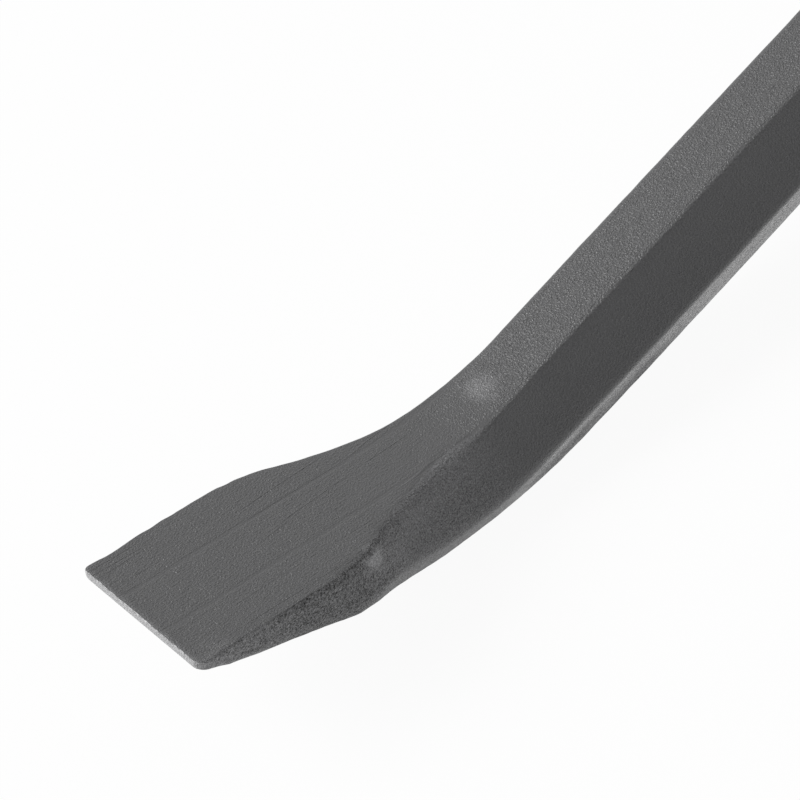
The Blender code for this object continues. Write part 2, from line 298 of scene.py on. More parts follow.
# painted reflection of the white floor on the shank's facets below the ridge
FLOOR_REFLECTION_TONE = 0.60
LIP_TONE = 0.50
LIP_RAGGEDNESS = 0.0008
LIP_WIDTH = (0.0016, 0.0006)
LIP_RUNS = (0.0032, 0.0010)
GRAIN_TONE = (1.0, 1.0)       # on the sides, and what the blade adds to it
FINE_TONE = (3.0, 1.0)
MOTTLE_TONE = 1.7             # on the blade's sides alone

# Painted highlights and painted shade on the chisel's bend, bumps and hollows: run, side and depth of each, its
# reach and the tone it adds
PAINTED_LIGHT_SPOTS = (
    (0.0651, 0.0004, 0.0000, 0.0042, 0.95),
    (0.0314, -0.0130, 0.0022, 0.0031, 1.75),
    (0.0347, -0.0121, 0.0048, 0.0044, 0.32),
    (0.0035, -0.0141, 0.0010, 0.0045, 0.35),
    (0.0250, -0.0140, 0.0012, 0.0030, -0.12),
    (0.0346, -0.0110, 0.0006, 0.0020, -0.25),
    (0.0375, -0.0100, 0.0008, 0.0018, -0.25),
    (0.0340, -0.0126, 0.0062, 0.0020, -0.40),
)
SPOT_CORE = 0.1               # share of its reach in which a spot is at its full tone

# Wear of the paint on the chisel's edge, and the steel under it
CHIP_DEPTH = 0.0004
WORN_WIDTH = (0.00036, 0.00030)
WORN_LESS = (-0.0136, -0.0122, 0.35, 1.0)     # at the near corner: the two sides, and the wear at each
EDGE_SLOPE = 0.1              # how much farther from the edge a place counts for its run
STEEL_COLOURS = ((0.42, 0.42, 0.425, 1.0), (0.58, 0.58, 0.585, 1.0))
STEEL_METAL = 0.5

# Roughness of the paint, and what each place or noise adds
PAINT_ROUGHNESS = 0.29
CLOUD_ROUGHNESS = 0.10
PIT_ROUGHNESS = 0.65
SIDE_ROUGHNESS = 0.16
WORN_ROUGHNESS = 0.35
UNDERSIDE_GLOSS = 0.07
UNDERSIDE_STREAKS = 0.40
DRY_HEIGHTS = (-0.0010, -0.0060)
DRY_ROUGHNESS = (0.098, 0.086, 0.00, 0.30)    # in the bend's underside: the two runs, and what is added at each
LEAST_ROUGHNESS = 0.14
PAINT_SPECULAR = 0.5

# The vinyl of the sleeve
VINYL_GRAIN = (3000.0, 2.0, 0.6)
VINYL_CLOUDS = (220.0, 2.0)
VINYL_CLOUD_LEVELS = (0.3, 0.7)
VINYL_SCUFFS = ((900.0, 260.0, 260.0), 3.0)
VINYL_COLOURS = ((0.019, 0.019, 0.020, 1.0), (0.027, 0.027, 0.029, 1.0))
RUBBED_COLOUR = (0.046, 0.046, 0.048, 1.0)
RUBBED_FROM = (0.0129, 0.0138)  # distance from the bar's axis
SCUFF_DEPTH = 0.0012
VINYL_ROUGHNESS = 0.50
VINYL_CLOUD_ROUGHNESS = 0.12
RUBBED_GLOSS = 0.10
RUBBED_SMOOTHER = 0.6
VINYL_DEPTH = 0.00006

# Camera of the photograph's view, and the light
CAMERA_AT = (-0.4100517, -0.33783, 0.38167276)
CAMERA_AIM = (-0.24560081, 0.01373367, 0.012)
CAMERA_ROLL = -21.1646
CAMERA_LENS = 164.96
SOFTBOX_AT = (-1.10, 0.75, 1.20)
SOFTBOX_AIM = (-0.15, 0.0, 0.0)
SOFTBOX_SIZE = 1.1
SOFTBOX_POWER = 24.5
WORLD_LIGHT = 0.33
TENT_OPENING = (-0.447, -0.744, 0.496)
OPENING_EDGE = (0.55, 0.80)   # cosines off its middle, from its rim to where it is dimmest
OPENING_GLOSS = 0.15
WHITE = (1.0, 1.0, 1.0, 1.0)
FLOOR_COLOUR = (0.90, 0.90, 0.90, 1.0)
FLOOR_GLOW = 0.94
FLOOR_REACH = 20.0


def mix(a, b, share):
    return a + (b - a) * share


def smooth_curve(rows, column, at):
    """Values of a table's column at places, on a cubic that never overshoots its rows."""
    places = np.array([row[0] for row in rows])
    values = np.array([row[column] for row in rows])
    width = np.diff(places)
    slopes = np.diff(values) / width
    product = slopes[:-1] * slopes[1:]
    total = slopes[:-1] + slopes[1:]
    inner = np.where(product > 0, 2 * product / np.where(total == 0, 1, total), 0.0)
    tangents = np.concatenate([slopes[:1], inner, slopes[-1:]])
    at = np.clip(at, places[0], places[-1])
    k = np.clip(np.searchsorted(places, at, side="right") - 1, 0, len(rows) - 2)
    t = (at - places[k]) / width[k]
    rise = 3 * t**2 - 2 * t**3
    bend = tangents[k] * (t**3 - 2 * t**2 + t) + tangents[k + 1] * (t**3 - t**2)
    return values[k] * (1 - rise) + values[k + 1] * rise + width[k] * bend


def bar_points(grid):
    """Points in the bar's frame, from the run, side and height of each."""
    left = grid[..., 0].copy()
    x = np.full(left.shape, -CHISEL_DEPTH)
    rise = CHISEL_REACH * math.sin(BEND_ANGLE) + CHISEL_RADIUS * (1 - math.cos(BEND_ANGLE))
    z = np.full(left.shape, rise)
    heading = np.full(left.shape, -BEND_ANGLE)
    stretches = (
        (CHISEL_REACH, 0.0),
        (BEND_LENGTH, 1 / CHISEL_RADIUS),
        (SHANK_LENGTH, 0.0),
        (GOOSENECK_LENGTH, -1 / GOOSENECK_RADIUS),
        (CLAW_REACH, -1 / CLAW_RADIUS),
    )
    for length, curvature in stretches:
        step = np.clip(left, 0.0, length)
        if curvature:
            turned = heading + curvature * step
            x += (np.sin(turned) - np.sin(heading)) / curvature
            z += (np.cos(heading) - np.cos(turned)) / curvature
            heading = turned
        else:
            x += step * np.cos(heading)
            z += step * np.sin(heading)
        left -= length
    height = grid[..., 2]
    return np.stack([x - height * np.sin(heading), grid[..., 1], z + height * np.cos(heading)], axis=-1)


def swelling(value, at, reach, height):
    """Bell of a height at a place, which fades out over its reach."""
    return height * np.exp(-((value - at) / reach)**2)


def soft_reach(rows, run, beyond):
    """Reach of a near rounding over the runs of its table, and the plain reach beyond them."""
    soft = np.interp(run, [row[0] for row in rows], [row[1] for row in rows])
    return np.where(run < rows[-1][0], soft, beyond)


def corner_loss(run, corner):
    """How much a rounded corner takes off a width at a run from the end."""
    gap = np.clip(corner - run, 0.0, corner)
    return corner - np.sqrt(corner**2 - gap**2)


def bar_form(run):
    """Half widths, heights and roundings of the bar's section, each as an array over the runs."""
    run = np.asarray(run, float)
    back = BAR_RUN - run
    claw = back < CLAW_LENGTH
    way = np.where(claw, back / CLAW_LENGTH, (run - BLADE_LENGTH) / NECK_LENGTH)
    gained, outer, ridge, under, depth = (
        np.where(claw, smooth_curve(CLAW_SHARES, column, way), smooth_curve(NECK_SHARES, column, way))
        for column in range(1, 6))
    share = (run - BEVEL_LENGTH) / (BLADE_LENGTH - BEVEL_LENGTH)
    thickness = np.where(claw, mix(POINT_THICKNESS, FLATS, gained), mix(HEEL_THICKNESS, FLATS, gained))
    thickness = np.where(run < BLADE_LENGTH, mix(BEVEL_THICKNESS, HEEL_THICKNESS, share), thickness)
    bevel = mix(EDGE_THICKNESS, BEVEL_THICKNESS, run / BEVEL_LENGTH)
    thickness = np.where(run < BEVEL_LENGTH, bevel, thickness)
    half = np.where(claw, CLAW_WIDTH / 2 - CLAW_RIDGE, BLADE_WIDTH / 2)
    stands_out = np.where(claw, CLAW_RIDGE, 0.0)
    draft = np.where(claw, 0.0, BLADE_DRAFT)
    loss = np.where(claw, corner_loss(back, POINT_CORNER), corner_loss(run, BLADE_CORNER))
    far_gain = np.where(claw, 0.0, corner_loss(run, BLADE_CORNER) - corner_loss(run, FAR_CORNER))
    thinned = corner_loss(np.minimum(run, back), END_ROUNDING)
    reach = mix(SHANK_ROUNDING, np.where(claw, CLAW_ROUNDING, BLADE_ROUNDING), outer)
    top = OUTER_FACE - thinned
    bottom = OUTER_FACE - thickness + thinned
    return {
        "outer": mix(FACET / 2, half, outer) - loss,
        "ridge": mix(FACET, half + stands_out, ridge) - loss,
        "under": mix(FACET / 2, half - draft, under) - loss,
        "top": top,
        "middle": np.clip(OUTER_FACE - thickness * depth, bottom, top),
        "bottom": bottom,
        "reach": reach,
        "far_gain": far_gain,
        "near_arris": soft_reach(SOFT_ARRIS, run, reach),
        "near_ridge": soft_reach(SOFT_RIDGE, run, reach),
        "near_sag": swelling(run, *RIDGE_SAG),
    }


def rounded_corner(before, corner, after, reach):
    """Steps round a corner between two sides, as (rings, steps, 2)."""
    ends = []
    for other in (before, after):
        side = other - corner
        length = np.linalg.norm(side, axis=-1)
        ends.append(corner + side * np.minimum(reach / length, CORNER_LIMIT)[:, None])
    t = np.linspace(0, 1, CORNER_STEPS + 1)[None, :, None]
    return ends[0][:, None] * (1 - t)**2 + corner[:, None] * 2 * t * (1 - t) + ends[1][:, None] * t**2


def straight(start, end, steps, ease=1.0):
    """Places between two points, without the points themselves, closer at the start where it eases."""
    t = np.linspace(0, 1, steps + 1)[1:-1, None]**ease
    return start[:, None] * (1 - t) + end[:, None] * t


def side_line(form, near=False):
    """One side of the section, from the flat of its outer face down to the flat of its underside."""
    arris, ridge_reach, gain, sag = form["reach"], form["reach"], form["far_gain"], 0.0
    if near:
        arris, ridge_reach, gain, sag = form["near_arris"], form["near_ridge"], 0.0, form["near_sag"]
    top_middle = np.stack([np.zeros_like(form["top"]), form["top"]], axis=-1)
    outer = np.stack([form["outer"] + gain, form["top"]], axis=-1)
    ridge = np.stack([form["ridge"] + gain, form["middle"] - sag], axis=-1)
    under = np.stack([form["under"] + gain, form["bottom"]], axis=-1)
    bottom_middle = np.stack([np.zeros_like(form["bottom"]), form["bottom"]], axis=-1)
    first = rounded_corner(top_middle, outer, ridge, arris)
    second = rounded_corner(outer, ridge, under, ridge_reach)
    third = rounded_corner(ridge, under, bottom_middle, form["reach"])
    return np.concatenate([
        first,
        straight(first[:, -1], second[:, 0], UPPER_STEPS, UPPER_EASE),
        second,
        straight(second[:, -1], third[:, 0], LOWER_STEPS),
        third,
    ], axis=1)


def with_run(run, flat):
    """Adds the run to (rings, columns, 2) of side and height."""
    run = np.broadcast_to(np.asarray(run)[:, None], flat.shape[:2])
    return np.concatenate([run[..., None], flat], axis=-1)


def mirrored(grid):
    return grid * np.array([1.0, -1.0, 1.0])


def root_angles():
    return np.linspace(math.pi / 2, -math.pi / 2, ROOT_COLUMNS + 1)


def plain_rings(run):
    """Closed rings of the bar where no slot cuts it."""
    form = bar_form(run)
    line = side_line(form)
    near_line = side_line(form, near=True)
    outwards = np.linspace(SLOT_SHARE, 1.0, OUTER_COLUMNS + 1)
    across = np.concatenate([outwards[:0:-1], SLOT_SHARE * np.sin(root_angles()), -outwards[1:]])
    rows = []
    for k, sign in ((0, -1), (-1, 1)):
        width = np.where(across * sign > 0, line[:, k, :1], near_line[:, k, :1]) * across * sign
        level = np.broadcast_to(line[:, k, 1:], width.shape)
        rows.append(np.stack([width, level], axis=-1)[:, 1:-1])
    top, bottom = rows
    other = near_line * np.array([-1.0, 1.0])
    return with_run(run, np.concatenate([top, line, bottom, other[:, ::-1]], axis=1))


def slot_half_width(back, height):
    """Half width of the nail slot at a distance back from the points, and at a height."""
    root = SLOT_ROOT / 2
    mouth = SLOT_MOUTH / 2
    straight_part = root + (mouth - root) * (ROOT_CENTRE - back) / ROOT_CENTRE
    return straight_part + (OUTER_FACE - height) * FLARE + corner_loss(back, MOUTH_CORNER)


def wall_profile(top, bottom):
    """Slot wall from the outer face to the underside: heights, and how far each stands back from the wall."""
    t = np.linspace(0, 1, CORNER_STEPS + 1)
    reach = SLOT_ROUNDING
    top, bottom = top[..., None], bottom[..., None]
    stand_back = np.concatenate([(1 - t)**2, np.zeros(WALL_STEPS - 1), t**2]) * reach
    between = np.linspace(0, 1, WALL_STEPS + 1)[1:-1]
    heights = np.concatenate([
        top - reach * t**2,
        mix(top - reach, bottom + reach, between),
        bottom + reach * (1 - t)**2,
    ], axis=-1)
    return heights, np.broadcast_to(stand_back, heights.shape)


def prong_rings(run):
    """Closed rings of the prong on the positive side, from the slot's edge round to its wall."""
    form = bar_form(run)
    back = BAR_RUN - run
    line = side_line(form)
    heights, stand_back = wall_profile(form["top"], form["bottom"])
    wall = np.stack([slot_half_width(back[:, None], heights) + stand_back, heights], axis=-1)
    t = np.linspace(0, 1, OUTER_COLUMNS + 1)[1:-1, None]
    top = wall[:, :1] * (1 - t) + line[:, :1] * t
    bottom = line[:, -1:] * (1 - t) + wall[:, -1:] * t
    return with_run(run, np.concatenate([top, line, bottom, wall[:, ::-1]], axis=1))


def root_wall():
    """Grid of the slot's root: round it, and from the outer face to the underside."""
    angles = root_angles()[:, None]
    back = np.full(angles.shape, ROOT_CENTRE)
    for _ in range(ROOT_ROUNDS):
        form = bar_form(BAR_RUN - back[:, -1])
        heights, stand_back = wall_profile(form["top"], form["bottom"])
        radius = SLOT_ROOT / 2 + (OUTER_FACE - heights) * FLARE + stand_back
        back = ROOT_CENTRE + radius * np.cos(angles)
    return np.stack([BAR_RUN - back, radius * np.sin(angles), heights], axis=-1)


def root_face(edge, run, end_width, face):
    """Rows of a face, from the slot's root to the last plain ring."""
    rows = []
    for k, at in enumerate(run):
        t = k / (len(run) - 1)
        inner_run = mix(edge[:, 0], BAR_RUN - REGULAR_FROM, t)
        inner_side = mix(edge[:, 1], SLOT_SHARE * end_width[-1] * np.sin(root_angles()), t)
        steps = np.linspace(0, 1, OUTER_COLUMNS + 1)
        outer_side = mix(end_width[k], inner_side[0], steps)[:-1]
        side = np.concatenate([outer_side, inner_side, -outer_side[::-1]])
        runs = np.concatenate([np.full(OUTER_COLUMNS, at), inner_run, np.full(OUTER_COLUMNS, at)])
        rows.append(np.stack([runs, side, bar_form(runs)[face]], axis=-1))
    return np.array(rows)


class Skin:
    """Points and faces, gathered grid by grid and joined where they meet."""

    def __init__(self):
        self.points = []
        self.faces = []
        self.count = 0

    def add(self, grid, closed=False):
        rows, columns = grid.shape[:2]
        index = self.count + np.arange(rows * columns).reshape(rows, columns)
        if closed:
            index = np.concatenate([index, index[:, :1]], axis=1)
        quads = np.stack([index[:-1, :-1], index[:-1, 1:], index[1:, 1:], index[1:, :-1]], axis=-1)
        self.faces += quads.reshape(-1, 4).tolist()
        self.points.append(grid.reshape(-1, 3))
        self.count += rows * columns

    def cap(self, ring):
        self.faces.append(list(range(self.count, self.count + len(ring))))
        self.points.append(ring)
        self.count += len(ring)

    def mesh(self, name):
        grid = np.concatenate(self.points)
        mesh = bpy.data.meshes.new(name)
        mesh.from_pydata(bar_points(grid).tolist(), [], self.faces)
        layer = mesh.attributes.new("bar_place", "FLOAT_VECTOR", "POINT")
        layer.data.foreach_set("vector", grid.astype(np.float32).ravel())
        form = bmesh.new()
        form.from_mesh(mesh)
        bmesh.ops.remove_doubles(form, verts=form.verts, dist=WELD)
        bmesh.ops.recalc_face_normals(form, faces=form.faces)
        form.to_mesh(mesh)
        form.free()
        return mesh


def spaced(start, end, step):
    count = max(1, math.ceil((end - start) / step - 1e-6))
    return np.linspace(start, end, count + 1)


def eased(reach, steps):
    """Places from 0 to a reach, closer together near 0, for a rounding that ends there."""
    return reach * (1 - np.cos(np.linspace(0, math.pi / 2, steps + 1)))


def ring_places(spacing):
    """Places of rings back from an end: over its rounding, and then evenly up to each place of a spacing."""
    places = eased(END_ROUNDING, END_STEPS)
    for end, step in spacing:
        places = np.concatenate([places, spaced(places[-1], end, step)[1:]])
    return places


def forging_mesh():
    skin = Skin()
    rings = plain_rings(ring_places(RING_SPACING))
    skin.add(rings, closed=True)
    skin.cap(rings[0])
    root_runs = np.linspace(BAR_RUN - ROOT_CENTRE, BAR_RUN - REGULAR_FROM, ROOT_ROWS + 1)
    wall = root_wall()
    skin.add(wall)
    line = side_line(bar_form(root_runs))
    side = with_run(root_runs, line)
    skin.add(side)
    skin.add(mirrored(side))
    skin.add(root_face(wall[:, 0], root_runs, line[:, 0, 0], "top"))
    skin.add(root_face(wall[:, -1], root_runs, line[:, -1, 0], "bottom"))
    prong = prong_rings(BAR_RUN - ring_places(PRONG_SPACING))
    for one in (prong, mirrored(prong)):
        skin.add(one, closed=True)
        skin.cap(one[0])
    return skin.mesh("forging")


def stand():
    """From the bar's frame to the row's."""
    return Matrix.Translation(BAR_AT) @ Matrix.Rotation(-math.radians(LEAN), 4, "Y")


def ramp(value, start, end):
    """Smooth step from 0 at start to 1 at end."""
    t = np.clip((value - start) / (end - start), 0, 1)
    return t * t * (3 - 2 * t)


def waves(place, size, height):
    """Smooth random heights at places, for lumps of a size."""
    return height * np.array([noise.noise(Vector(p / size)) for p in place])


def near_corner(place, form):
    """How near a point lies to one of the section's six arrises, from 0 to 1."""
    side = np.abs(place[:, 1])
    corners = ((form["outer"], form["top"]), (form["ridge"], form["middle"]), (form["under"], form["bottom"]))
    away = np.min([np.hypot(side - across, place[:, 2] - height) for across, height in corners], axis=0)
    return swelling(away, 0.0, EDGE_WAVE[0], 1.0)


def ledge(place, form):
    """How far the blade's sides stand back above their ledge, for each point."""
    run, side, height = place.T
    setback = np.where(side < 0, LEDGE_SETBACK[-1], LEDGE_SETBACK[1])
    setback = setback * (ramp(run, *LEDGE_STARTS) - ramp(run, *LEDGE_ENDS))
    setback *= np.clip(1 + waves(place, *LEDGE_BREAKS), 0.0, 2.0)
    depth = LEDGE_DEPTH * mix(LEDGE_SHALLOW, 1.0, ramp(run, *LEDGE_DEEPENS))
    for size, wander in LEDGE_WAVES:
        depth += waves(place * LEDGE_STRETCH, size, wander)
    above = 1 - ramp(OUTER_FACE - height - depth, -LEDGE_STEEPNESS, LEDGE_STEEPNESS)
    band_start, band_end = LEDGE_BAND
    near_side = ramp(np.abs(side), form["outer"] - band_start, form["outer"] - band_end)
    return setback * above * near_side


def unevenness(place, form):
    """How far the lumps and marks of forging and the thickness of the paint move each point outwards."""
    run = place[:, 0]
    lumps = sum(waves(place, size, height) - height for size, height in LUMPS)
    heated = np.maximum(1 - ramp(run, *CHISEL_HEATED), ramp(run, HOOK_START - HOOK_HEATED, HOOK_START))
    moved = lumps * mix(SHANK_LUMPS, 1.0, heated)
    out_from, out_to = PAINT_RUNS_OUT
    painted = ramp(run, *PAINT_SETS_IN) - ramp(run, SLEEVE_START - out_from, SLEEVE_START - out_to)
    moved += PAINT_DEPTH * painted
    moved += (waves(place, *EDGE_WAVE) - EDGE_WAVE[1]) * near_corner(place, form)
    for run_at, side_at, depth, reach, height in MARKS:
        away = np.linalg.norm(place - np.array([run_at, side_at, OUTER_FACE - depth]), axis=1)
        moved += swelling(away, 0.0, reach, height)
    return moved * ramp(np.minimum(run, BAR_RUN - run), *END_CALM)


def vectors(collection, name, count):
    """A collection's vectors as rows of an array."""
    values = np.empty(count * 3, np.float32)
    collection.foreach_get(name, values)
    return values.reshape(-1, 3).astype(float)


def forge(mesh):
    """Gives the skin the uneven, slightly hollowed look of hammered and rolled faces."""
    count = len(mesh.vertices)
    place = vectors(mesh.attributes["bar_place"].data, "vector", count)
    points = vectors(mesh.vertices, "co", count)
    normals = vectors(mesh.vertex_normals, "vector", count)
    form = bar_form(place[:, 0])
    points += normals * unevenness(place, form)[:, None]
    points[:, 1] -= np.sign(place[:, 1]) * ledge(place, form)
    across = np.clip(place[:, 1] / BLADE_WIDTH + 0.5, 0, 1)
    skew = END_SKEW * across * (1 - ramp(place[:, 0], 0.0, SKEW_REACH))
    points += skew[:, None] * np.array([math.cos(BEND_ANGLE), 0.0, -math.sin(BEND_ANGLE)])
    bow_start, bow_end = FAR_BOW_SHARES
    far_side = ramp(place[:, 1], 0.0, FACET / 2)
    far_side *= ramp(place[:, 1], bow_start * form["outer"], bow_end * form["outer"])
    for bow in FAR_BOWS:
        points[:, 1] += swelling(place[:, 0], *bow) * far_side
    mesh.vertices.foreach_set("co", points.astype(np.float32).ravel())
    mesh.update()


def sleeve_outline():
    """Outside of the sleeve: places along it, and the height above its grooves' floor, with soft edges."""
    high = RIB_DEPTH + COLLAR_HEIGHT
    rise = COLLAR_LENGTH / 4
    start = COLLAR_LENGTH + rise
    end = SLEEVE_LENGTH - start
    ribs = max(1, round((end - start) / RIB_PITCH))
    pitch = (end - start) / ribs
    wall = RIB_GROOVE / 4
    corners = [(0.0, RIB_DEPTH), (rise, high), (COLLAR_LENGTH, high), (start, RIB_DEPTH)]
    for k in range(1, ribs):
        left = start + pitch * k - RIB_GROOVE / 2
        right = left + RIB_GROOVE
        corners += [(left, RIB_DEPTH), (left + wall, 0.0), (right - wall, 0.0), (right, RIB_DEPTH)]
    corners += [(end, RIB_DEPTH), (SLEEVE_LENGTH - COLLAR_LENGTH, high)]
    corners += [(SLEEVE_LENGTH - rise, high), (SLEEVE_LENGTH, RIB_DEPTH)]
    along = np.linspace(0, SLEEVE_LENGTH, SLEEVE_PLACES)
    height = np.interp(along, [c[0] for c in corners], [c[1] for c in corners])
    padded = np.pad(height, len(SLEEVE_SOFTENING) // 2, mode="edge")
    height = np.convolve(padded, np.array(SLEEVE_SOFTENING), mode="valid")
    return along, height - corner_loss(np.minimum(along, SLEEVE_LENGTH - along), SLEEVE_LIP)


def hexagon(flat_radius, reach):
    """Rounded hexagons round the shank's axis, one for each flat radius, as (rings, columns, 2)."""
    flat_radius = np.atleast_1d(np.asarray(flat_radius, float))
    angles = np.radians(np.arange(60, -300, -60))
    directions = np.stack([np.cos(angles), np.sin(angles)], axis=-1)
    corners = flat_radius[:, None, None] * 2 / math.sqrt(3) * directions
    arcs = [rounded_corner(corners[:, k - 1], corners[:, k], corners[:, (k + 1) % 6], reach) for k in range(6)]
    pieces = []
    for arc, following in zip(arcs, arcs[1:] + arcs[:1]):
        pieces += [arc, straight(arc[:, -1], following[:, 0], SLEEVE_STEPS)]
    return np.concatenate(pieces, axis=1)


def sleeve_mesh():
    bore = OUTER_FACE + SLEEVE_CLEARANCE
    along, height = sleeve_outline()
    outside = hexagon(bore + SLEEVE_WALL - RIB_DEPTH + height, SLEEVE_ROUNDING)
    inside = hexagon(np.full(2, bore), SHANK_ROUNDING)
    outside = with_run(SLEEVE_START + along, outside)
    inside = with_run(SLEEVE_START + np.array([SLEEVE_LENGTH, 0.0]), inside)
    grid = np.concatenate([outside, inside, outside[:1]])
    skin = Skin()
    skin.add(grid, closed=True)
    return skin.mesh("sleeve")


def add_piece(name, mesh, material, node):
    mesh.transform(stand())
    mesh.shade_smooth()
    mesh.set_sharp_from_angle(angle=math.radians(SHARP_FROM))
    mesh.materials.append(material)
    piece = bpy.data.objects.new(name, mesh)
    bpy.context.scene.collection.objects.link(piece)
    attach(piece, "root")
    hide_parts(node)
    return piece


class Nodes:
    """Short ways to add and join the nodes of a material or a world."""

    def __init__(self, tree):
        self.tree = tree

    def join(self, value, socket):
        if isinstance(value, bpy.types.NodeSocket):
            self.tree.links.new(value, socket)
        else:
            socket.default_value = value

    def add(self, kind, settings=None, **inputs):
        node = self.tree.nodes.new(kind)
        for key, value in (settings or {}).items():
            setattr(node, key, value)
        for key, value in inputs.items():
            self.join(value, node.inputs[key.replace("_", " ")])
        return node

    def chain(self, operation, values):
        """One math operation over two or more values, from left to right."""
        result = values[0]
        for value in values[1:]:
            node = self.add("ShaderNodeMath", {"operation": operation})
            self.join(result, node.inputs[0])
            self.join(value, node.inputs[1])
            result = node.outputs[0]
        return result

    def total(self, *values):
        return self.chain("ADD", values)

    def less(self, *values):
        return self.chain("SUBTRACT", values)

    def product(self, *values):
        return self.chain("MULTIPLY", values)

    def largest(self, *values):
        return self.chain("MAXIMUM", values)

    def one(self, operation, value):
        """A math operation on one value."""
        node = self.add("ShaderNodeMath", {"operation": operation})
        self.join(value, node.inputs[0])
        return node.outputs[0]

    def length(self, a, b):
        return self.one("SQRT", self.total(self.product(a, a), self.product(b, b)))

    def vectors(self, operation, vector, other):
        node = self.add("ShaderNodeVectorMath", {"operation": operation})
        self.join(vector, node.inputs[0])
        self.join(other, node.inputs[1])
        return node

    def step(self, value, start, end, low=0.0, high=1.0, kind="SMOOTHSTEP"):
        """Step of a value, from low at start to high at end."""
        node = self.add("ShaderNodeMapRange", {"interpolation_type": kind})
        for socket, number in zip(node.inputs, (value, start, end, low, high)):
            self.join(number, socket)
        return node.outputs["Result"]

    def under_face(self, height, depths):
        """Smooth step from 0 to 1 between two depths below the outer face."""
        return self.step(height, *(OUTER_FACE - depth for depth in depths))

    def place(self):
        return self.add("ShaderNodeAttribute", {"attribute_name": "bar_place"}).outputs["Vector"]

    def spot(self, place, at, reach, ragged):
        """1 at a point, fading to 0 at a reach from it, with an outline that a noise makes ragged."""
        away = self.vectors("DISTANCE", place, at).outputs["Value"]
        shift = self.product(self.less(ragged, 0.5), reach)
        return self.step(self.total(away, shift), reach, reach * SPOT_CORE)

    def noise(self, place, scale, detail=2.0, roughness=0.5):
        if isinstance(scale, tuple):
            place, scale = self.vectors("MULTIPLY", place, scale).outputs[0], 1.0
        node = self.add("ShaderNodeTexNoise", Vector=place, Scale=scale, Detail=detail, Roughness=roughness)
        return node.outputs["Fac"]

    def bump(self, height, depth, normal=None):
        """Bump whose height runs over a depth in metres, on top of another where there is one."""
        node = self.add("ShaderNodeBump", Height=height, Strength=1.0, Distance=depth)
        if normal:
            self.join(normal, node.inputs["Normal"])
        return node.outputs["Normal"]

    def mixed(self, share, a, b):
        """A mix of two colours."""
        node = self.add("ShaderNodeMix", {"data_type": "RGBA"})
        for index, value in ((0, share), (6, a), (7, b)):
            self.join(value, node.inputs[index])
        return node.outputs[2]

    def mixed_numbers(self, share, a, b):
        node = self.add("ShaderNodeMix")
        for index, value in ((0, share), (2, a), (3, b)):
            self.join(value, node.inputs[index])
        return node.outputs[0]

    def rays(self, *kinds):
        """1 for rays of these kinds, and 0 for all others."""
        path = self.add("ShaderNodeLightPath")
        return self.largest(*(path.outputs[kind] for kind in kinds))


def new_material(name):
    material = bpy.data.materials.new(name)
    material.use_nodes = True
    return material, Nodes(material.node_tree)


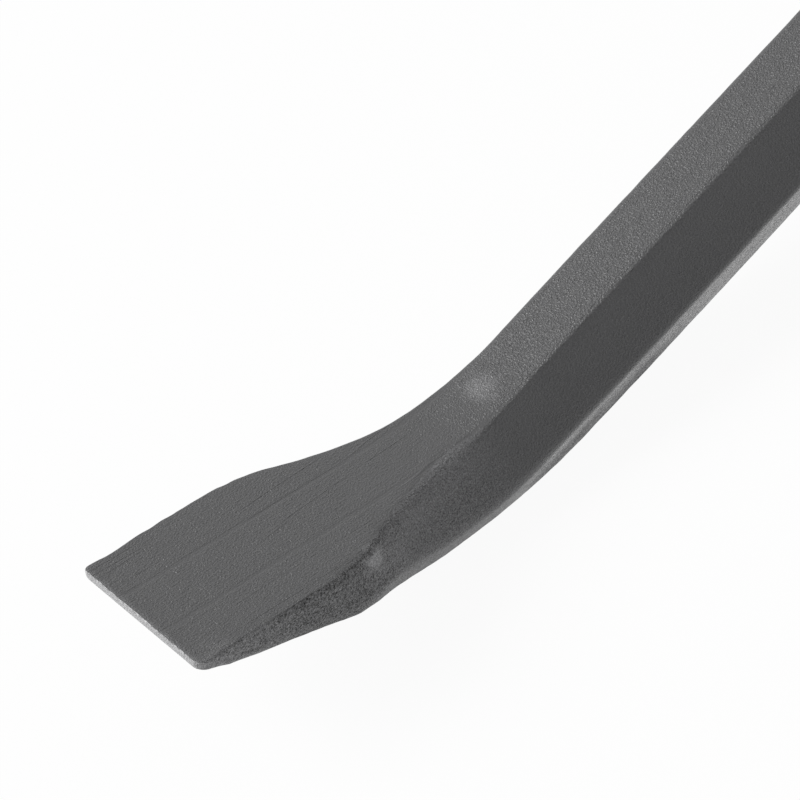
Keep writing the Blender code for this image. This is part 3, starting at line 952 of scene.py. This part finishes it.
class Paint:
    """Dark grey textured paint, worn through to ground steel on the chisel's edge, with painted light and shade
    in its colour.

    Its noises and areas are sockets. An area is 1 where a look holds and 0 elsewhere: at_blade for the blade's
    coarser grain, on_side for the chisel's sides, flowing for its outer face, on_facet and below_ridge for the
    shank's facets above and below the ridge, shadow for the broken dark line under the blade's arris, peeled
    for how much of the orange peel is left, and worn for bare steel.
    """

    def __init__(self):
        self.material, self.n = new_material("dark_grey_paint")
        self.find_noises()
        self.find_areas()
        self.find_edge()
        n, shader = self.n, self.n.tree.nodes["Principled BSDF"]
        steel = n.mixed(n.noise(self.place, *SCRATCHES), *STEEL_COLOURS)
        n.join(n.mixed(self.worn, self.colour(), steel), shader.inputs["Base Color"])
        n.join(n.product(self.worn, STEEL_METAL), shader.inputs["Metallic"])
        n.join(self.roughness(), shader.inputs["Roughness"])
        shader.inputs["Specular IOR Level"].default_value = PAINT_SPECULAR
        n.join(self.relief(), shader.inputs["Normal"])

    def find_noises(self):
        n = self.n
        self.place = n.place()
        self.peel = n.noise(self.place, *PEEL)
        self.fine = n.noise(self.place, *FINE_PEEL)
        self.grain = n.noise(self.place, *GRAIN)
        self.cloud = n.noise(self.place, *CLOUDS)

    def find_areas(self):
        """Where each look holds, as values from 0 to 1."""
        n = self.n
        self.run, self.side, self.height = n.add("ShaderNodeSeparateXYZ", Vector=self.place).outputs
        self.across = n.one("ABSOLUTE", self.side)
        blade_face = n.step(self.run, *BLADE_FACE)
        shank = n.less(1.0, blade_face)
        side_run = n.step(self.run, *BLADE_SIDE)
        self.at_blade = n.step(self.run, *BLADE_GRAIN)
        self.on_side = n.product(n.under_face(self.height, SIDE_DEPTHS), side_run)
        self.flowing = n.product(n.under_face(self.height, FACE_DEPTHS), blade_face)
        self.below_ridge = n.product(shank, n.step(self.height, *BELOW_RIDGE))
        self.on_facet = n.less(n.product(shank, n.under_face(self.height, FACET_DEPTHS)), self.below_ridge)
        to_arris = n.one("ABSOLUTE", n.less(self.across, FACET / 2 - ARRIS_IN))
        at_arris = n.product(n.step(to_arris, *ARRIS_REACH), n.under_face(self.height, ARRIS_DEPTHS))
        shadow = n.less(self.on_side, n.product(n.under_face(self.height, SHADOW_DEPTHS), side_run))
        broken = n.step(n.noise(self.place, *SHADOW_BREAKS), *SHADOW_LEVELS)
        self.shadow = n.product(shadow, broken, n.step(self.run, *SHADOW_RUNS))
        peeled = n.less(1.0, n.product(blade_face, n.step(self.run, *BLADE_PEEL_LOSS)))
        peeled = n.less(peeled, n.product(self.on_facet, FACET_PEEL_LOSS))
        self.peeled = n.product(peeled, n.less(1.0, n.product(at_arris, ARRIS_PEEL_LOSS)))

    def find_edge(self):
        """How far each place lies in from the blade's rounded end, and where the paint is worn off it."""
        n = self.n
        corner = n.step(self.side, *MIDDLE, BLADE_CORNER, FAR_CORNER)
        short_of = n.largest(n.less(corner, self.run), 0.0)
        beyond = n.largest(n.total(n.less(self.across, BLADE_WIDTH / 2), corner), 0.0)
        inside = n.less(corner, n.length(short_of, beyond))
        self.from_edge = n.total(inside, n.product(self.run, EDGE_SLOPE))
        chipped = n.product(n.noise(self.place, *CHIPS), CHIP_DEPTH)
        worn = n.step(n.total(self.from_edge, chipped), *WORN_WIDTH)
        self.worn = n.product(worn, n.step(self.side, *WORN_LESS))

    def relief(self):
        n = self.n
        line = n.one("ABSOLUTE", n.less(n.noise(self.place, *DRAWN_LINES), 0.5))
        line = n.product(n.step(line, LINE_WIDTH, 0.0), n.step(n.noise(self.place, *LINE_BREAKS), *LINE_LEVELS))
        layers = (
            (self.peel, self.peeled, PEEL_DEPTH),
            (self.fine, self.peeled, FINE_PEEL_DEPTH),
            (n.noise(self.place, *FLOW_STREAKS), self.flowing, STREAK_DEPTH),
            (line, self.flowing, LINE_DEPTH),
            (n.noise(self.place, *EDGE_RIM), n.step(self.run, *AT_EDGE), RIM_DEPTH),
            (self.grain, n.product(self.on_side, self.at_blade), SIDE_GRAIN_DEPTH),
        )
        relief = None
        for noise_height, area, depth in layers:
            relief = n.bump(n.product(noise_height, area), depth, relief)
        return relief

    def speckle(self):
        """Dark and pale grains on the chisel's sides."""
        n = self.n
        coarse = n.product(n.less(n.noise(self.place, *COARSE_GRAIN), 0.5), self.at_blade, MOTTLE_TONE)
        layers = [coarse]
        for layer, (tone, more) in ((self.grain, GRAIN_TONE), (self.fine, FINE_TONE)):
            layers.append(n.product(n.less(layer, 0.5), n.total(n.product(self.at_blade, more), tone)))
        return n.product(n.total(*layers), self.on_side)

    def colour(self):
        n = self.n
        on_neck = n.product(self.on_side, n.step(self.run, *NECK_SIDE))
        lip = n.step(n.total(self.from_edge, n.product(self.grain, LIP_RAGGEDNESS)), *LIP_WIDTH)
        lip = n.product(lip, n.step(self.run, *LIP_RUNS))
        tones = [
            BASE_TONE,
            n.product(self.cloud, CLOUD_TONE),
            # painted shade in the peel's pits, painted light on its crests
            n.product(self.peel, PEEL_LIGHT_AND_SHADE),
            self.speckle(),
            # painted light from the floor on the chisel's sides and neck
            n.product(self.on_side, n.step(self.run, *SIDE_TONE)),
            n.product(self.on_side, n.step(self.run, *SIDE_NECK_TONE)),
            # painted light high on the neck's side, painted shade low on it
            n.product(on_neck, n.step(self.height, *NECK_TONE)),
            # painted light, paler towards the shank's outer face
            n.product(self.on_facet, n.step(self.height, *PAINTED_FACET_LIGHT)),
            n.product(self.shadow, SHADOW_TONE),
            # painted reflection of the white floor on the shank's underside
            n.product(self.below_ridge, FLOOR_REFLECTION_TONE),
            n.product(self.flowing, FACE_TONE),
            n.product(lip, LIP_TONE),
        ]
        ragged = n.noise(self.place, *RAGGED)
        # painted highlights and painted shade on the chisel's bend, bumps and hollows
        for run_at, side_at, depth, reach, gain in PAINTED_LIGHT_SPOTS:
            spot = n.spot(self.place, (run_at, side_at, OUTER_FACE - depth), reach, ragged)
            tones.append(n.product(spot, gain))
        toned = n.add("ShaderNodeVectorMath", {"operation": "SCALE"}, Vector=PAINT_COLOUR)
        n.join(n.total(*tones), toned.inputs["Scale"])
        return toned.outputs[0]

    def roughness(self):
        n = self.n
        pitted = n.product(n.less(0.5, self.peel), n.product(self.peeled, PIT_ROUGHNESS))
        drier = n.product(n.step(self.height, *DRY_HEIGHTS), n.step(self.run, *DRY_ROUGHNESS))
        streaks = n.product(n.less(n.noise(self.place, *DRY_STREAKS), 0.5), UNDERSIDE_STREAKS)
        underside = n.less(n.total(drier, streaks), UNDERSIDE_GLOSS)
        rough = n.total(
            PAINT_ROUGHNESS,
            n.product(self.cloud, CLOUD_ROUGHNESS),
            pitted,
            n.product(self.on_side, SIDE_ROUGHNESS),
            n.product(self.worn, WORN_ROUGHNESS),
            n.product(self.below_ridge, underside),
        )
        return n.largest(rough, LEAST_ROUGHNESS)


def vinyl():
    """Matt black moulded vinyl with a fine leathery grain, rubbed paler and smoother on its corners."""
    material, n = new_material("black_vinyl")
    shader = n.tree.nodes["Principled BSDF"]
    place = n.place()
    _, side, height = n.add("ShaderNodeSeparateXYZ", Vector=place).outputs
    cloud = n.noise(place, *VINYL_CLOUDS)
    scuffed = n.product(n.less(n.noise(place, *VINYL_SCUFFS), 0.5), SCUFF_DEPTH)
    rubbed = n.step(n.total(n.length(side, height), scuffed), *RUBBED_FROM)
    colour = n.mixed(n.step(cloud, *VINYL_CLOUD_LEVELS), *VINYL_COLOURS)
    n.join(n.mixed(rubbed, colour, RUBBED_COLOUR), shader.inputs["Base Color"])
    rough = n.total(n.product(cloud, VINYL_CLOUD_ROUGHNESS), VINYL_ROUGHNESS)
    n.join(n.less(rough, n.product(rubbed, RUBBED_GLOSS)), shader.inputs["Roughness"])
    grain = n.product(n.noise(place, *VINYL_GRAIN), n.less(1.0, n.product(rubbed, RUBBED_SMOOTHER)))
    n.join(n.bump(grain, VINYL_DEPTH), shader.inputs["Normal"])
    return material


def floor_paint():
    """Matt white, a little brighter to the camera and in reflections than the lamps alone make it."""
    material, n = new_material("white_floor")
    n.tree.nodes.remove(n.tree.nodes["Principled BSDF"])
    lit = n.add("ShaderNodeBsdfDiffuse", Color=FLOOR_COLOUR)
    white = n.add("ShaderNodeEmission", Color=WHITE, Strength=1.0)
    both = n.add("ShaderNodeMixShader")
    seen = n.rays("Is Camera Ray", "Is Glossy Ray", "Is Transmission Ray")
    for socket, value in zip(both.inputs, (n.product(seen, FLOOR_GLOW), lit.outputs[0], white.outputs[0])):
        n.join(value, socket)
    n.join(both.outputs[0], n.tree.nodes["Material Output"].inputs["Surface"])
    return material


def add_floor():
    mesh = bpy.data.meshes.new("floor")
    corners = [(x * FLOOR_REACH, y * FLOOR_REACH, 0.0) for x, y in ((-1, -1), (1, -1), (1, 1), (-1, 1))]
    mesh.from_pydata(corners, [], [(0, 1, 2, 3)])
    mesh.materials.append(floor_paint())
    floor = bpy.data.objects.new("floor", mesh)
    bpy.context.scene.collection.objects.link(floor)


def add_lamp(name, at, aim, size, power):
    lamp = bpy.data.lights.new(name, "AREA")
    lamp.shape = "SQUARE"
    lamp.size = size
    lamp.energy = power
    item = bpy.data.objects.new(name, lamp)
    item.location = at
    item.rotation_euler = (Vector(aim) - Vector(at)).to_track_quat("-Z", "Y").to_euler()
    item.visible_camera = False
    bpy.context.scene.collection.objects.link(item)


def add_world():
    """A white tent: white to the camera and in gloss, but for the dim open side that the camera looks in by."""
    world = bpy.data.worlds.new("tent")
    bpy.context.scene.world = world
    world.use_nodes = True
    n = Nodes(world.node_tree)
    direction = n.add("ShaderNodeTexCoord").outputs["Generated"]
    facing = n.vectors("DOT_PRODUCT", direction, TENT_OPENING).outputs["Value"]
    walls = n.step(facing, *OPENING_EDGE, 1.0, OPENING_GLOSS, kind="LINEAR")
    unseen = n.mixed_numbers(n.rays("Is Glossy Ray", "Is Transmission Ray"), WORLD_LIGHT, walls)
    background = n.tree.nodes["Background"]
    n.join(n.mixed_numbers(n.rays("Is Camera Ray"), unseen, 1.0), background.inputs["Strength"])
    n.join(WHITE, background.inputs["Color"])


def add_camera():
    data = bpy.data.cameras.new("camera")
    data.lens = CAMERA_LENS
    camera = bpy.data.objects.new("camera", data)
    bpy.context.scene.collection.objects.link(camera)
    turn = (Vector(CAMERA_AIM) - Vector(CAMERA_AT)).to_track_quat("-Z", "Y").to_matrix().to_4x4()
    roll = Matrix.Rotation(math.radians(CAMERA_ROLL), 4, "Z")
    camera.matrix_world = Matrix.Translation(CAMERA_AT) @ turn @ roll
    bpy.context.scene.camera = camera


def main():
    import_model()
    forging = forging_mesh()
    forge(forging)
    add_piece("forging", forging, Paint().material, "forged_bar")
    add_piece("ribbed_sleeve", sleeve_mesh(), vinyl(), "grip_sleeve")
    add_floor()
    add_world()
    add_lamp("softbox", SOFTBOX_AT, SOFTBOX_AIM, SOFTBOX_SIZE, SOFTBOX_POWER)
    add_camera()
    bpy.context.scene.view_settings.view_transform = "Standard"


main()
